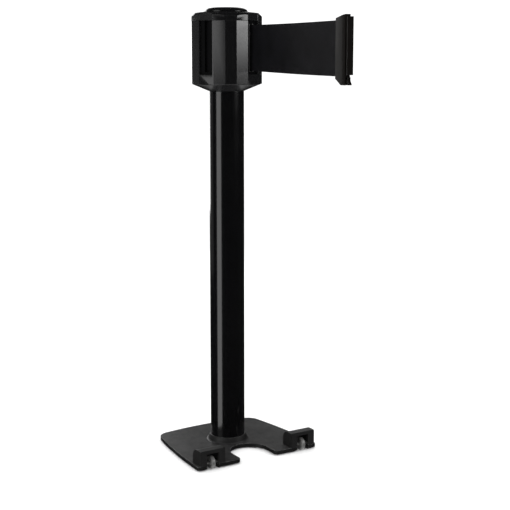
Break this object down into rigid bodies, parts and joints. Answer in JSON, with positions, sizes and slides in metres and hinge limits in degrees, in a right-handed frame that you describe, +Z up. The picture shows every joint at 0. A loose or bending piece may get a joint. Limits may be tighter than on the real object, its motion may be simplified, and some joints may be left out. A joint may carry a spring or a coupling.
{
  "type": "retractable belt stanchion",
  "caption": "Free-standing queue post with a nesting wheeled base, straight tube, and a lobed head that pays out a sprung belt with a clip end.",
  "frame": {"origin": "where the post's axis meets the floor, at the middle of the rubber pad's underside", "axes": "+Z up along the post, -Y towards the front of the base with its wheels and nesting cut-out, +X along the front edge to the right"},
  "size_m": [0.3, 0.7163, 0.972],
  "materials": {
    "cast_base": "textured black powder coat on cast iron",
    "rubber_pad": "matt",
    "steel": "zinc-plated steel",
    "polished_steel": "polished",
    "spring_steel": "blued strip",
    "aluminium": "machined",
    "gloss_paint": "gloss black",
    "gloss_plastic": "gloss black moulding",
    "satin_plastic": "satin black moulding",
    "receiver_plastic": "satin black moulding",
    "clip_plastic": "fine-grained black moulding",
    "webbing": "tight woven black webbing"
  },
  "bodies": {
    "post": {"base_plate": "cast_base", "floor_pad": "rubber_pad", "base_washer": "steel", "base_bolt": "steel", "post_foot_plug": "cast_base", "wheel_housing_left": "satin_plastic", "wheel_axle_left": "steel", "wheel_housing_right": "satin_plastic", "wheel_axle_right": "steel", "housing_screw_left_outer": "steel", "housing_screw_left_inner": "steel", "housing_screw_right_inner": "steel", "housing_screw_right_outer": "steel", "post_tube": "gloss_paint", "head_plug": "aluminium", "head_casing": "gloss_plastic", "head_screw": "steel", "receiver_right": "receiver_plastic", "receiver_back": "receiver_plastic", "receiver_left": "receiver_plastic", "exit_frame": "receiver_plastic", "roller_pin_left": "steel", "roller_pin_right": "steel", "spring_case": "satin_plastic", "power_spring": "spring_steel", "spindle": "steel", "belt_lead": "webbing", "head_lid": "gloss_plastic", "lid_screw": "steel", "lid_cap": "gloss_plastic"},
    "wheel_left": {"wheel_left": "polished_steel"},
    "wheel_right": {"wheel_right": "polished_steel"},
    "roller_left": {"guide_roller_left": "satin_plastic"},
    "roller_right": {"guide_roller_right": "satin_plastic"},
    "spool": {"spool": "satin_plastic", "belt_roll": "webbing"},
    "belt": {"belt_strap": "webbing"},
    "belt_end": {"belt_end_body": "clip_plastic", "belt_end_tongue": "clip_plastic", "latch_pin": "steel", "belt_clamp_bar": "steel"},
    "latch": {"latch_hook": "clip_plastic"}
  },
  "joints": [
    {"name": "wheel_left_spin", "type": "hinge", "parent": "post", "child": "wheel_left", "pos_m": [-0.1145, -0.126, 0.0145], "axis": [1, 0, 0], "continuous": true},
    {"name": "wheel_right_spin", "type": "hinge", "parent": "post", "child": "wheel_right", "pos_m": [0.1145, -0.126, 0.0145], "axis": [1, 0, 0], "continuous": true},
    {"name": "belt_swing", "type": "hinge", "parent": "post", "child": "belt", "pos_m": [0.02449, -0.05913, 0.886], "axis": [0, 0, 1], "range_deg": [-4, 76]},
    {"name": "belt_pull", "type": "slide", "parent": "belt", "child": "belt_end", "axis": [-0.2334, -0.9724, 0], "range_m": [-0.475, 1.8], "deforming": ["belt_strap"]},
    {"name": "spool_spin", "type": "hinge", "parent": "post", "child": "spool", "pos_m": [0, 0, 0.886], "axis": [0, 0, 1], "continuous": true},
    {"name": "roller_left_spin", "type": "hinge", "parent": "post", "child": "roller_left", "pos_m": [0.01876, -0.0615, 0.886], "axis": [0, 0, 1], "continuous": true},
    {"name": "roller_right_spin", "type": "hinge", "parent": "post", "child": "roller_right", "pos_m": [0.03022, -0.05676, 0.886], "axis": [0, 0, 1], "continuous": true},
    {"name": "latch_press", "type": "hinge", "parent": "belt_end", "child": "latch", "pos_m": [-0.10133, -0.58323, 0.831], "axis": [0.9724, -0.2334, 0], "range_deg": [0, 10], "stiffness_Nm_per_rad": 0.02, "springref_deg": -20.05}
  ],
  "couplings": [
    {"joint": "spool_spin", "follows": "belt_pull", "rad_per_m": -38.17},
    {"joint": "roller_left_spin", "follows": "belt_pull", "rad_per_m": -285.7},
    {"joint": "roller_right_spin", "follows": "belt_pull", "rad_per_m": 285.7}
  ]
}
